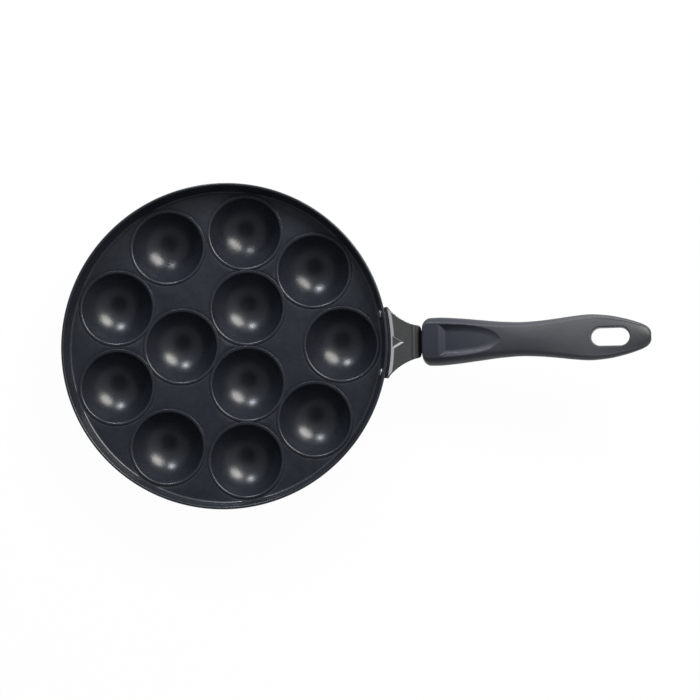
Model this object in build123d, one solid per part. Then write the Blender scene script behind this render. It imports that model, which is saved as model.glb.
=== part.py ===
from build123d import *
import math
import os

os.makedirs("parts", exist_ok=True)

# Aebleskiver pan, all sizes in millimetres. The origin is the pan's centre on the hob,
# +Z is up and +X runs out along the handle.

# Pan body
rim_diameter = 250.0
wall_height = 12.0
wall_flare = 2.8
wall_thickness = 2.2
plate_thickness = 2.6
inner_corner = 1.3
outer_corner = 3.2
rim_break = 0.6

# Baking cups
cup_mouth_diameter = 54.4
cup_depth = 21.4
cup_floor = 2.4
cup_skin = 2.3
pad_flat = 0.7
mouth_break = 0.8
outer_cup_count = 9
outer_ring_radius = 89.1
inner_cup_count = 3
inner_ring_radius = 33.9
inner_ring_turn = 60.0
land_width = 4.4
land_height = 0.5
cup_sides = 16
cup_steps = 5

# Pressed steel bracket
sheet = 2.0
bend_radius = 2.0
bend_flat_count = 3
bracket_drop = 0.5
flange_length = 56.0
flange_foot = 2.2
handle_rise = 8.0
web_end_width = 25.4
web_level = 1.5
web_reach = 18.0
web_nose = 4.0
web_hollow = 44.0
nose_radius = 3.0
nose_turn = 60.0
tongue_width = 17.0
tongue_in_grip = 22.0
dart_length = 8.5
dart_width = 9.4
dart_depth = 0.5
dart_wall = 1.2

# Rivets
rivet_end_distance = 5.75
rivet_shank = 4.0
rivet_head = 6.4
seat_margin = 0.2
rivet_head_height = 1.5
rivet_tail = 6.0
rivet_tail_height = 1.3
rivet_height = 4.9

# Grip
grip_front_width = 36.6
grip_front_depth = 19.0
grip_waist_width = 25.8
grip_belly_width = 34.6
grip_tail_depth = 9.5
grip_length = 170.7
grip_flat_share = 0.68
flank_width_share = 0.88
flank_level_share = 0.62
grip_corner_share = 0.3
grip_full_reach = 12.0
belly_to_end = 45.0
waist_to_belly = 51.2
waist_reach = grip_length - belly_to_end - waist_to_belly
belly_reach = grip_length - belly_to_end
neck_reach = (grip_full_reach + waist_reach) / 2
swell_reach = (waist_reach + belly_reach) / 2

# Stations along the grip: distance from the front face, width, depth, height of the middle
grip_stations = [
    (0.0, grip_front_width - 6.0, grip_front_depth - 1.0, 0.0),
    (5.0, grip_front_width - 0.8, grip_front_depth, 0.0),
    (grip_full_reach, grip_front_width, grip_front_depth, 0.2),
    (neck_reach, 31.0, 17.8, 0.9),
    (waist_reach, grip_waist_width, 16.0, 1.2),
    (swell_reach, 29.6, 14.0, 0.8),
    (belly_reach, grip_belly_width, 12.5, 0.0),
    (grip_length - 19.0, 27.4, 11.0, -1.6),
    (grip_length - 7.0, 19.6, grip_tail_depth, -2.6),
    (grip_length - 2.0, 13.2, grip_tail_depth - 1.0, -3.0),
    (grip_length, 6.5, grip_tail_depth - 2.5, -3.2),
]
slot_length = 28.3
slot_width = 13.9
slot_to_end = 30.1
thumb_reach = 15.0
thumb_length = 44.0
thumb_width = 25.0
thumb_tip_width = 9.0
thumb_depth = 3.0

# Hidden fixing inside the grip
fit_gap = 0.3
screw_reach = 9.0
screw_diameter = 5.0
screw_hole = 5.5
screw_head = 8.5
screw_head_height = 3.3
washer_outer = 8.8
washer_height = 1.2
access_bore = 10.4
insert_width = 8.0
insert_length = 6.0
screw_engagement = 5.0

# Cutting tools reach this far past what they cut
overrun = 1.0

# Levels and radii that follow from the sizes above
rim_radius = rim_diameter / 2
rivet_spacing = flange_length - 2 * rivet_end_distance
mouth_radius = cup_mouth_diameter / 2
mouth_z = cup_floor + cup_depth
plate_z = mouth_z - land_height
underside_z = plate_z - plate_thickness
rim_z = plate_z + wall_height
cup_radius = (mouth_radius**2 + cup_depth**2) / (2 * cup_depth)
cup_centre_z = cup_floor + cup_radius
bulge_radius = cup_radius + cup_skin
bulge_centre_z = bulge_radius - pad_flat
flare_angle = math.degrees(math.atan2(wall_flare, wall_height))


def outer_wall_radius(z):
    """Radius of the wall's outside at height z; it is widest just under the rim's broken edge."""
    return rim_radius - (rim_z - rim_break - z) * wall_flare / wall_height


def inner_wall_radius(z):
    """Radius of the wall's inside at height z."""
    return outer_wall_radius(z) - wall_thickness


def cup_places():
    """Centres of all the cups: the outer ring, then the inner three."""
    places = []
    for i in range(outer_cup_count):
        places.append((outer_ring_radius, i * 360 / outer_cup_count))
    for i in range(inner_cup_count):
        places.append((inner_ring_radius, inner_ring_turn + i * 360 / inner_cup_count))
    return [(r * math.cos(math.radians(a)), r * math.sin(math.radians(a)), a) for r, a in places]


def ring_points(radius, z):
    """Corners of one level of a faceted bowl."""
    turn = 2 * math.pi / cup_sides
    return [
        (radius * math.cos(i * turn), radius * math.sin(i * turn), z) for i in range(cup_sides)
    ]


def faceted_bowl(levels):
    """Closed solid of flat facets through (radius, z) levels, from the top down."""
    rings = [ring_points(radius, z) for radius, z in levels]
    faces = [Face(Wire.make_polygon(rings[0])), Face(Wire.make_polygon(rings[-1]))]
    for upper, lower in zip(rings, rings[1:]):
        for i in range(cup_sides):
            j = (i + 1) % cup_sides
            corners = [upper[i], upper[j], lower[j], lower[i]]
            faces.append(Face(Wire.make_polygon(corners)))
    return Solid(Shell(faces))


def sphere_levels(radius, centre_z, top_z, bottom_radius, steps):
    """Levels down a sphere, evenly spaced by angle, ending at a flat of the given radius."""
    top = math.asin((top_z - centre_z) / radius)
    bottom = -math.acos(bottom_radius / radius)
    angles = [top + (bottom - top) * i / steps for i in range(steps + 1)]
    return [(radius * math.cos(a), centre_z + radius * math.sin(a)) for a in angles]


def pan_shell():
    """Flat plate with the low flared wall round it, turned from one profile."""
    corner_z = underside_z + outer_corner * 0.8
    profile = [
        (0, underside_z),
        (outer_wall_radius(underside_z) - outer_corner, underside_z),
        (outer_wall_radius(corner_z), corner_z),
        (rim_radius, rim_z - rim_break),
        (rim_radius - rim_break, rim_z),
        (inner_wall_radius(rim_z), rim_z),
        (inner_wall_radius(plate_z + inner_corner), plate_z + inner_corner),
        (inner_wall_radius(plate_z) - inner_corner, plate_z),
        (0, plate_z),
    ]
    face = make_face(Plane.XZ * Polyline(*profile, close=True))
    return revolve(face, Axis.Z)


def cup_hollow():
    """What is cut out for one cup: the broken mouth edge, then the round bowl."""
    above = (mouth_radius + mouth_break + overrun, mouth_z + overrun)
    bowl = sphere_levels(cup_radius, cup_centre_z, mouth_z - mouth_break, cup_radius * 0.2, cup_steps)
    return faceted_bowl([above] + bowl)


def cup_bulge():
    """Outside of one cup under the plate, ending in the flat pad that stands on the hob."""
    pad_radius = math.sqrt(bulge_radius**2 - bulge_centre_z**2)
    top_z = underside_z + plate_thickness / 2
    return faceted_bowl(sphere_levels(bulge_radius, bulge_centre_z, top_z, pad_radius, cup_steps - 2))


def cup_land():
    """Low raised land round one cup's mouth."""
    edge = mouth_radius + land_width
    foot = edge + land_height
    return faceted_bowl([(edge, mouth_z), (foot, plate_z), (foot, plate_z - plate_thickness / 2)])


def at_rivet(side, shape):
    """A shape whose +Z leaves the wall's inside face, put at the left (+1) or right (-1) rivet."""
    height = plate_z + rivet_height
    radius = inner_wall_radius(height)
    turn = side * math.degrees(math.asin(rivet_spacing / 2 / radius))
    return Rot(0, 0, turn) * Pos(radius, 0, height) * Rot(0, 90 + flare_angle, 0) * shape


def make_pan_body():
    """Plate, wall and cups in one piece of aluminium, with seats and holes for two rivets."""
    land = cup_land()
    bulge = cup_bulge()
    hollow = cup_hollow()
    added = []
    removed = []
    for x, y, turn in cup_places():
        place = Pos(x, y, 0) * Rot(0, 0, turn)
        added += [place * land, place * bulge]
        removed.append(place * hollow)
    body = pan_shell().fuse(*added).cut(*removed)
    through = Cylinder(rivet_shank / 2, 4 * wall_thickness)
    seat_width = rivet_head + 2 * seat_margin
    seat = Pos(0, 0, -wall_thickness / 2) * Box(seat_width, seat_width, wall_thickness)
    for side in (1, -1):
        body = body - at_rivet(side, through) - at_rivet(side, seat)
    return body


def strip_side(start, direction, moves, shift):
    """Edges of one side of a bent strip. A move is a length, or a radius and a turn."""
    heading = Vector(*direction).normalized()
    left = Vector(-heading.Y, heading.X)
    point = Vector(*start) + left * shift
    edges = []
    for size, turn in moves:
        if turn == 0:
            edge = Line(point, point + heading * size)
        else:
            edge = JernArc(point, heading, size - math.copysign(1, turn) * shift, turn)
        edges.append(edge)
        point = edge @ 1
        heading = edge % 1
    return edges


def strip_face(start, direction, moves, stepped=False):
    """Side view of a strip of sheet bent along its middle line."""
    upper = strip_side(start, direction, moves, sheet / 2)
    lower = strip_side(start, direction, moves, -sheet / 2)
    if stepped:
        upper, lower = in_short_flats(upper), in_short_flats(lower)
    caps = [Line(upper[0] @ 0, lower[0] @ 0), Line(upper[-1] @ 1, lower[-1] @ 1)]
    return Plane.XZ * make_face(upper + lower + caps)


def crosswise(face, half_width):
    """A side view thickened evenly to both sides, with no seam down its middle."""
    return Pos(0, half_width, 0) * extrude(face, 2 * half_width, dir=(0, -1, 0))


def strip_end(start, direction, moves):
    """Where the middle line of a strip stops."""
    return strip_side(start, direction, moves, 0)[-1] @ 1


def flange_start():
    """Foot of the flange's middle line, half a sheet out from the wall."""
    foot_z = underside_z + flange_foot
    normal = Vector(math.cos(math.radians(flare_angle)), -math.sin(math.radians(flare_angle)))
    return Vector(outer_wall_radius(foot_z), foot_z) + normal * (sheet / 2)


def flange_moves():
    """Up the wall, round the bend and out level for a short way."""
    tilt = math.radians(flare_angle)
    bend_outside = bend_radius + sheet
    bend_start_z = rim_z - bracket_drop - bend_outside * (1 - math.sin(tilt))
    rise = (bend_start_z - underside_z - flange_foot) / math.cos(tilt)
    return [(rise, 0), (bend_radius + sheet / 2, flare_angle - 90), (web_level, 0)]


def in_short_flats(edges):
    """The same side view with each arc drawn as a few straight steps."""
    steps = []
    for edge in edges:
        count = 1 if edge.geom_type == GeomType.LINE else bend_flat_count
        points = [edge @ (i / count) for i in range(count + 1)]
        steps += [Line(a, b) for a, b in zip(points, points[1:])]
    return steps


def web_moves():
    """Level web, down the nose, then the tongue that climbs into the grip."""
    return [
        (web_reach, 0),
        (nose_radius, -nose_turn),
        (nose_radius, nose_turn + handle_rise),
        (tongue_in_grip, 0),
    ]


def web_start():
    """Where the level web takes over from the turned bend."""
    tilt = math.radians(flare_angle)
    end = strip_end(flange_start(), (math.sin(tilt), math.cos(tilt)), flange_moves())
    return end - Vector(web_level, 0)


def grip_place():
    """Local frame of the grip: x along it from its front face, z = 0 in mid tongue."""
    end = strip_end(web_start(), (1, 0), web_moves()[:-1])
    return Pos(end.X, 0, end.Y) * Rot(0, -handle_rise, 0)


def bracket_outline():
    """Plan of the bracket: wide flange, web that narrows in a hollow curve, nose and tongue."""
    tip_x = math.sqrt((rim_radius + sheet) ** 2 - (flange_length / 2) ** 2)
    nose_x = web_start().X + web_reach
    neck_x = nose_x + web_nose
    end_x = neck_x + 2 * tongue_in_grip
    side = [
        Line((rim_radius - 2 * flange_length / 5, flange_length / 2), (tip_x, flange_length / 2)),
        RadiusArc((tip_x, flange_length / 2), (nose_x, web_end_width / 2), web_hollow),
        RadiusArc((nose_x, web_end_width / 2), (neck_x, tongue_width / 2), -web_nose),
        Line((neck_x, tongue_width / 2), (end_x, tongue_width / 2)),
    ]
    mirrored = [mirror(edge, Plane.XZ) for edge in side]
    closing = [Line(side[0] @ 0, mirrored[0] @ 0), Line(side[-1] @ 1, mirrored[-1] @ 1)]
    return make_face(side + mirrored + closing)


def dart_stamp(level):
    """Shallow three-cornered stamp beside the bend: outline at a level, smaller floor below it."""
    base_x = web_start().X
    corners = [(base_x, dart_width / 2), (base_x + dart_length, 0), (base_x, -dart_width / 2)]
    outline = make_face(Polyline(*corners, close=True))
    floor = offset(outline, -dart_wall, kind=Kind.INTERSECTION)
    return loft([Pos(0, 0, level) * outline, Pos(0, 0, level - dart_depth) * floor])


def make_handle_bracket():
    """Pressed steel bracket: turned flange and bend, level web, nose and tongue, one dart."""
    tilt = math.radians(flare_angle)
    up_wall = (math.sin(tilt), math.cos(tilt))
    bend = strip_face(flange_start(), up_wall, flange_moves(), stepped=True)
    bend = revolve(bend, Axis.Z)
    web = strip_face(web_start(), (1, 0), web_moves())
    web = crosswise(web, flange_length / 2)
    trim = extrude(bracket_outline(), 2 * rim_z)
    blank = (bend + web) & trim
    web_top = rim_z - bracket_drop
    blank = blank + dart_stamp(web_top - sheet) - dart_stamp(web_top)
    for side in (1, -1):
        blank = blank - at_rivet(side, Cylinder(rivet_shank / 2, 6 * sheet))
    hole = grip_place() * Pos(screw_reach, 0, 0) * Cylinder(screw_hole / 2, 4 * sheet)
    return blank - hole


def make_rivet(side):
    """Low head inside the pan, shank through wall and flange, formed tail outside."""
    grip = wall_thickness * math.cos(math.radians(flare_angle)) + sheet
    head = rivet_head / 2
    tail = rivet_tail / 2
    shank = rivet_shank / 2
    profile = [
        (0, grip + rivet_tail_height),
        (tail, grip + rivet_tail_height),
        (tail, grip),
        (shank, grip),
        (shank, 0),
        (head, 0),
        (head * 0.5, -rivet_head_height),
        (0, -rivet_head_height),
    ]
    return at_rivet(side, revolve(Plane.XZ * make_face(Polyline(*profile, close=True)), Axis.Z))


def grip_section(reach, width, depth, centre):
    """Cross-section of the grip: flat top, flanks that fall away from it, rounded underneath."""
    corner = depth * grip_corner_share
    inset = corner * (1 - math.sqrt(0.5))
    half_width = width / 2
    half_depth = depth / 2
    right = [
        (half_width * grip_flat_share, half_depth),
        (half_width * flank_width_share, half_depth * flank_level_share),
        (half_width, 0),
        (half_width, corner - half_depth),
        (half_width - inset, inset - half_depth),
        (half_width - corner, -half_depth),
    ]
    left = [(-y, z) for y, z in reversed(right)]
    plane = Plane(origin=(reach, 0, centre), x_dir=(0, 1, 0), z_dir=(1, 0, 0))
    return plane * make_face(Polyline(*right, *left, close=True))


def thumb_recess():
    """Hollow for the thumb: deep at the front, running out flush towards the tip."""
    front_half = thumb_width / 2
    tip_half = thumb_tip_width / 2
    outline = make_face(
        Polyline(
            (thumb_reach, -front_half),
            (thumb_reach, front_half),
            (thumb_reach + thumb_length - tip_half, tip_half),
            (thumb_reach + thumb_length, 0),
            (thumb_reach + thumb_length - tip_half, -tip_half),
            close=True,
        )
    )
    prism = extrude(outline, grip_front_depth)
    floor_z = grip_front_depth / 2 - thumb_depth
    slope = math.degrees(math.atan2(thumb_depth, thumb_length))
    above = Box(2 * grip_length, 2 * grip_front_width, grip_front_depth)
    above = Pos(0, 0, grip_front_depth / 2) * above
    return prism & (Pos(thumb_reach, 0, floor_z) * Rot(0, -slope, 0) * above)


def hang_slot():
    """Slot through the tail of the grip."""
    outline = SlotOverall(slot_length, slot_width)
    return Pos(grip_length - slot_to_end, 0, -grip_front_depth) * extrude(outline, 2 * grip_front_depth)


def make_handle_grip():
    """Moulded grip with thumb recess and hang slot; tongue pocket and screw bore inside."""
    block = loft([grip_section(*station) for station in grip_stations])
    pocket_top = sheet / 2
    pocket_low = -sheet / 2 - fit_gap
    pocket = Box(
        tongue_in_grip + 2 * fit_gap,
        tongue_width + 2 * fit_gap,
        pocket_top - pocket_low,
        align=(Align.MIN, Align.CENTER, Align.MIN),
    )
    block = block - Pos(0, 0, pocket_low) * pocket
    bore = Pos(screw_reach, 0, -grip_front_depth / 2) * Cylinder(access_bore / 2, grip_front_depth - sheet)
    block = block - bore - thumb_recess() - hang_slot() - insert_blank()
    return grip_place() * block


def insert_blank():
    """Hexagonal block of the insert, flush with the roof of the tongue pocket."""
    return Pos(screw_reach, 0, sheet / 2) * extrude(RegularPolygon(insert_width / 2, 6, False), insert_length)


def make_threaded_insert():
    """Brass insert moulded into the grip; its thread is left as a plain bore."""
    bore = Pos(screw_reach, 0, 0) * Cylinder(screw_diameter / 2, 4 * insert_length)
    return grip_place() * (insert_blank() - bore)


def make_lock_washer():
    """Washer between the screw's head and the tongue."""
    ring = Circle(washer_outer / 2) - Circle(screw_hole / 2)
    washer = extrude(ring, washer_height)
    return grip_place() * Pos(screw_reach, 0, -sheet / 2 - washer_height) * washer


def make_handle_screw():
    """Screw from below, through washer and tongue into the insert."""
    seat_z = -sheet / 2 - washer_height
    head = Cylinder(screw_head / 2, screw_head_height, align=(Align.CENTER, Align.CENTER, Align.MAX))
    length = washer_height + sheet + screw_engagement
    shank = Cylinder(screw_diameter / 2, length, align=(Align.CENTER, Align.CENTER, Align.MIN))
    return grip_place() * Pos(screw_reach, 0, seat_z) * (head + shank)


def main():
    """Build every sub-part and write one file for each."""
    pieces = {
        "pan_body": make_pan_body(),
        "handle_bracket": make_handle_bracket(),
        "rivet_left": make_rivet(1),
        "rivet_right": make_rivet(-1),
        "handle_grip": make_handle_grip(),
        "threaded_insert": make_threaded_insert(),
        "lock_washer": make_lock_washer(),
        "handle_screw": make_handle_screw(),
    }
    for name, shape in pieces.items():
        export_step(shape, f"parts/{name}.step")
        print(name, round(shape.volume), "cubic mm")


main()
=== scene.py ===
import math

import bmesh
import bpy
import numpy as np
from mathutils import Matrix, Vector
from mathutils.geometry import delaunay_2d_cdt


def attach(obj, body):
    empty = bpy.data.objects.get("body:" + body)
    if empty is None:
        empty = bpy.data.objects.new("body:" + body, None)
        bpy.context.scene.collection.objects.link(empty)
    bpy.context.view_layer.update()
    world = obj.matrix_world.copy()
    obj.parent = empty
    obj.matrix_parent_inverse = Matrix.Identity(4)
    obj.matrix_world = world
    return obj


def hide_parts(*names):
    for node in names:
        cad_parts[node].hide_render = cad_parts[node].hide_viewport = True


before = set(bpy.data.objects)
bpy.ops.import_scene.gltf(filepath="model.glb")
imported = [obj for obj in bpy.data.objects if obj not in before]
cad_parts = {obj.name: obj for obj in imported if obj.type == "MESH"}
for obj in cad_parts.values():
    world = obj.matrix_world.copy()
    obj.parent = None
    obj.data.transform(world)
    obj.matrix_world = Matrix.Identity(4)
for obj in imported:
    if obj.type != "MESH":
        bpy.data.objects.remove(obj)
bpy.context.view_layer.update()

# Sizes below are in millimetres, as on the drawing; meshes are in metres.
mm = 0.001
degree = math.pi / 180


def addNode(tree, kind, inputs=None, **settings):
    node = tree.nodes.new(kind)
    for name, value in settings.items():
        setattr(node, name, value)
    for name, value in (inputs or {}).items():
        socket = pickSocket(node.inputs, name)
        if isinstance(value, bpy.types.NodeSocket):
            tree.links.new(value, socket)
        else:
            socket.default_value = value
    return node


def pickSocket(sockets, name):
    if isinstance(name, int):
        return sockets[name]
    return [socket for socket in sockets if socket.name == name and socket.enabled][0]


def calculate(tree, operation, first, second=0.0):
    return addNode(tree, "ShaderNodeMath", {0: first, 1: second}, operation=operation).outputs[0]


def addSocket(tree, name, kind, value=None, direction="INPUT"):
    socket = tree.interface.new_socket(name, in_out=direction, socket_type=kind)
    if value is not None:
        socket.default_value = value


def makeObject(name, vertices, faces, edges=()):
    mesh = bpy.data.meshes.new(name)
    mesh.from_pydata([tuple(v) for v in np.asarray(vertices, float)], list(edges), faces)
    mesh.update()
    piece = bpy.data.objects.new(name, mesh)
    bpy.context.scene.collection.objects.link(piece)
    return piece


def settle(piece):
    # The evaluated result becomes the piece's own plain mesh
    evaluated = piece.evaluated_get(bpy.context.evaluated_depsgraph_get())
    plain = bpy.data.meshes.new_from_object(evaluated)
    piece.modifiers.clear()
    piece.data = plain
    return piece


def shadeSmooth(piece, sharpAngle):
    mesh = piece.data
    mesh.polygons.foreach_set("use_smooth", [True] * len(mesh.polygons))
    mesh.set_sharp_from_angle(angle=sharpAngle * degree)
    mesh.update()


def weightNormals(piece):
    modifier = piece.modifiers.new("flatFacesLead", "WEIGHTED_NORMAL")
    modifier.keep_sharp = True
    modifier.weight = 80


def cutAway(piece, cutter):
    modifier = piece.modifiers.new("cut", "BOOLEAN")
    modifier.operation = "DIFFERENCE"
    modifier.solver = "EXACT"
    modifier.object = cutter
    settle(piece)
    bpy.data.objects.remove(cutter)


def roundedPath(corners, steps=6):
    # Corners are (x, y, radius); each arc touches the two straights beside it
    path = []
    for i, (x, y, radius) in enumerate(corners):
        here = np.array((x, y), float)
        if radius == 0 or i in (0, len(corners) - 1):
            path.append(here)
            continue
        back = np.array(corners[i - 1][:2], float) - here
        ahead = np.array(corners[i + 1][:2], float) - here
        back /= np.linalg.norm(back)
        ahead /= np.linalg.norm(ahead)
        half = math.acos(np.clip(back @ ahead, -1, 1)) / 2
        bisector = (back + ahead) / np.linalg.norm(back + ahead)
        centre = here + bisector * radius / math.sin(half)
        start = here + back * radius / math.tan(half) - centre
        end = here + ahead * radius / math.tan(half) - centre
        turn = math.atan2(start[0] * end[1] - start[1] * end[0], start @ end)
        for k in range(steps + 1):
            angle = turn * k / steps
            cosine, sine = math.cos(angle), math.sin(angle)
            path.append(centre + (cosine * start[0] - sine * start[1], sine * start[0] + cosine * start[1]))
    return np.array(path)


def arcPath(centre, radius, startAngle, endAngle, steps):
    angles = np.linspace(startAngle, endAngle, steps + 1)
    return np.column_stack((centre[0] + radius * np.cos(angles), centre[1] + radius * np.sin(angles)))


def smoothStep(value):
    value = np.clip(value, 0, 1)
    return value * value * (3 - 2 * value)


def placeRound(tree, radius, angle, level):
    x = calculate(tree, "MULTIPLY", radius, calculate(tree, "COSINE", angle))
    y = calculate(tree, "MULTIPLY", radius, calculate(tree, "SINE", angle))
    return addNode(tree, "ShaderNodeCombineXYZ", {"X": x, "Y": y, "Z": level}).outputs[0]


def makeTurnTree():
    # Turns an open profile, drawn as points in order in the XZ plane, round the Z axis
    tree = bpy.data.node_groups.new("turnProfile", "GeometryNodeTree")
    addSocket(tree, "Profile", "NodeSocketGeometry")
    addSocket(tree, "Steps", "NodeSocketInt", 96)
    addSocket(tree, "Turned", "NodeSocketGeometry", direction="OUTPUT")
    given = addNode(tree, "NodeGroupInput").outputs
    size = addNode(tree, "GeometryNodeAttributeDomainSize", {"Geometry": given["Profile"]})
    points = size.outputs["Point Count"]
    columns = calculate(tree, "ADD", given["Steps"], 1)
    grid = addNode(tree, "GeometryNodeMeshGrid", {"Vertices X": columns, "Vertices Y": points})
    index = addNode(tree, "GeometryNodeInputIndex").outputs[0]
    row, column = (
        addNode(tree, "FunctionNodeIntegerMath", {0: index, 1: points}, operation=operation).outputs[0]
        for operation in ("MODULO", "DIVIDE_FLOOR")
    )
    position = addNode(tree, "GeometryNodeInputPosition").outputs[0]
    sample = addNode(
        tree, "GeometryNodeSampleIndex",
        {"Geometry": given["Profile"], "Value": position, "Index": row},
        data_type="FLOAT_VECTOR", domain="POINT",
    )
    split = addNode(tree, "ShaderNodeSeparateXYZ", {0: pickSocket(sample.outputs, "Value")}).outputs
    fullTurn = calculate(tree, "DIVIDE", 2 * math.pi, given["Steps"])
    angle = calculate(tree, "MULTIPLY", column, fullTurn)
    place = placeRound(tree, split["X"], angle, split["Z"])
    moved = addNode(tree, "GeometryNodeSetPosition", {"Geometry": grid.outputs["Mesh"], "Position": place})
    merged = addNode(tree, "GeometryNodeMergeByDistance", {"Geometry": moved.outputs[0], "Distance": 1e-6})
    addNode(tree, "NodeGroupOutput", {"Turned": merged.outputs[0]})
    return tree


turnTree = makeTurnTree()


def profileObject(name, profiles):
    # One object holds every profile; the point attribute "profile" tells them apart
    vertices, edges, marks = [], [], []
    for mark, profile in enumerate(profiles):
        first = len(vertices)
        vertices += [(x * mm, 0.0, z * mm) for x, z in profile]
        edges += [(first + i, first + i + 1) for i in range(len(profile) - 1)]
        marks += [mark] * len(profile)
    piece = makeObject(name, vertices, [], edges)
    attribute = piece.data.attributes.new("profile", "INT", "POINT")
    attribute.data.foreach_set("value", marks)
    return piece


def turnedPart(tree, source, mark, steps):
    named = addNode(tree, "GeometryNodeInputNamedAttribute", {"Name": "profile"}, data_type="INT")
    chosen = addNode(
        tree, "FunctionNodeCompare", {"A": pickSocket(named.outputs, "Attribute"), "B": mark},
        data_type="INT", operation="EQUAL",
    ).outputs[0]
    part = addNode(tree, "GeometryNodeSeparateGeometry", {"Geometry": source, "Selection": chosen})
    group = tree.nodes.new("GeometryNodeGroup")
    group.node_tree = turnTree
    tree.links.new(part.outputs["Selection"], group.inputs["Profile"])
    tree.links.new(steps, group.inputs["Steps"])
    return group.outputs["Turned"]


def endTree(tree, geometry, material, name):
    real = addNode(tree, "GeometryNodeRealizeInstances", {"Geometry": geometry}).outputs[0]
    finish = addNode(tree, "GeometryNodeSetMaterial", {"Geometry": real, "Material": material})
    addNode(tree, "NodeGroupOutput", {name: finish.outputs[0]})
    return tree


def useTree(piece, tree, values):
    modifier = piece.modifiers.new(tree.name, "NODES")
    modifier.node_group = tree
    for item in tree.interface.items_tree:
        if item.item_type == "SOCKET" and item.in_out == "INPUT" and item.name in values:
            modifier[item.identifier] = values[item.name]


# Materials

def emptyTree(owner):
    owner.use_nodes = True
    owner.node_tree.nodes.clear()
    return owner.node_tree


def newFinish(name):
    material = bpy.data.materials.new(name)
    tree = emptyTree(material)
    shader = addNode(tree, "ShaderNodeBsdfPrincipled")
    addNode(tree, "ShaderNodeOutputMaterial", {"Surface": shader.outputs[0]})
    place = addNode(tree, "ShaderNodeTexCoord").outputs["Object"]
    return material, tree, shader, place


def feedShader(tree, shader, colour, gloss, relief):
    for name, value in {"Base Color": colour, "Roughness": gloss, "Normal": relief}.items():
        tree.links.new(value, shader.inputs[name])


def grain(tree, place, size, detail=2.0, roughness=0.5):
    return addNode(
        tree, "ShaderNodeTexNoise",
        {"Vector": place, "Scale": 1 / (size * mm), "Detail": detail, "Roughness": roughness},
    ).outputs[0]


def fitRange(tree, value, low, high, newLow, newHigh):
    return addNode(
        tree, "ShaderNodeMapRange",
        {"Value": value, "From Min": low, "From Max": high, "To Min": newLow, "To Max": newHigh},
    ).outputs[0]


def blendColours(tree, share, first, second):
    return addNode(tree, "ShaderNodeMix", {0: share, 6: first, 7: second}, data_type="RGBA").outputs[2]


def reliefOf(tree, height, depth, strength=1.0, below=None):
    inputs = {"Height": height, "Distance": depth * mm, "Strength": strength}
    if below is not None:
        inputs["Normal"] = below
    return addNode(tree, "ShaderNodeBump", inputs).outputs[0]


coatingLook = {
    "dark": (0.0140, 0.0165, 0.0225, 1),
    "light": (0.0185, 0.0210, 0.0280, 1),
    "fleck": (0.050, 0.055, 0.065, 1),
    "cloudSize": 24,
    "fleckSize": 0.55,
    "fleckShare": 0.10,
    "fleckSoftness": 0.12,
    "fleckStrength": 0.5,
    "glossSize": 6,
    "smoothest": 0.25,
    "roughest": 0.32,
    "specular": 0.5,
    "ripple": 0.05,
    "rippleSize": 3.2,
    "pebble": 0.012,
    "pebbleSize": 0.45,
}


def makeCoating(name, extraRoughness=0.0):
    look = coatingLook
    material, tree, shader, place = newFinish(name)
    cloud = grain(tree, place, look["cloudSize"], 3)
    colour = blendColours(tree, fitRange(tree, cloud, 0.35, 0.65, 0, 1), look["dark"], look["light"])
    cells = addNode(tree, "ShaderNodeTexVoronoi", {"Vector": place, "Scale": 1 / (look["fleckSize"] * mm)})
    near, far = look["fleckShare"], look["fleckShare"] + look["fleckSoftness"]
    fleck = fitRange(tree, cells.outputs["Distance"], near, far, look["fleckStrength"], 0)
    colour = blendColours(tree, fleck, colour, look["fleck"])
    smoothest, roughest = look["smoothest"] + extraRoughness, look["roughest"] + extraRoughness
    gloss = fitRange(tree, grain(tree, place, look["glossSize"], 4), 0.3, 0.7, smoothest, roughest)
    wave = reliefOf(tree, grain(tree, place, look["rippleSize"], 1), look["ripple"], 0.35)
    pebble = reliefOf(tree, grain(tree, place, look["pebbleSize"], 2), look["pebble"], 0.7, wave)
    feedShader(tree, shader, colour, gloss, pebble)
    shader.inputs["Specular IOR Level"].default_value = look["specular"]
    return material


steelLook = {
    "dark": (0.88, 0.84, 0.80, 1),
    "light": (0.98, 0.94, 0.90, 1),
    "smoothest": 0.10,
    "roughest": 0.15,
    "brush": 0.004,
    "brushSize": 0.18,
    "brushStretch": 0.06,
    "mottle": 0.012,
    "mottleSize": 2.6,
    # Painted shade: this dark colour darkens the cut edges, the nose and the tongue
    "dullAndShaded": (0.045, 0.045, 0.05, 1),
    "dullRoughness": 0.6,
}


def makeSteel():
    look = steelLook
    material, tree, shader, place = newFinish("satinSteel")
    shader.inputs["Metallic"].default_value = 1.0
    stretch = (1.0, look["brushStretch"], 1.0)
    stretched = addNode(tree, "ShaderNodeMapping", {"Vector": place, "Scale": stretch}).outputs[0]
    brush = grain(tree, stretched, look["brushSize"], 3)
    mottle = grain(tree, place, look["mottleSize"], 4)
    colour = blendColours(tree, fitRange(tree, mottle, 0.3, 0.7, 0, 1), look["dark"], look["light"])
    # The mask read here makes the steel rougher and also paints shade on it as a darker colour
    dullAndShaded = addNode(tree, "ShaderNodeAttribute", attribute_name="dullAndShaded").outputs["Fac"]
    colour = blendColours(tree, dullAndShaded, colour, look["dullAndShaded"])
    gloss = fitRange(tree, brush, 0.3, 0.7, look["smoothest"], look["roughest"])
    worn = calculate(tree, "MULTIPLY", calculate(tree, "MULTIPLY", dullAndShaded, dullAndShaded), look["dullRoughness"])
    gloss = calculate(tree, "MAXIMUM", gloss, worn)
    relief = reliefOf(tree, brush, look["brush"], 0.6, reliefOf(tree, mottle, look["mottle"], 0.25))
    feedShader(tree, shader, colour, gloss, relief)
    return material


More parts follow.
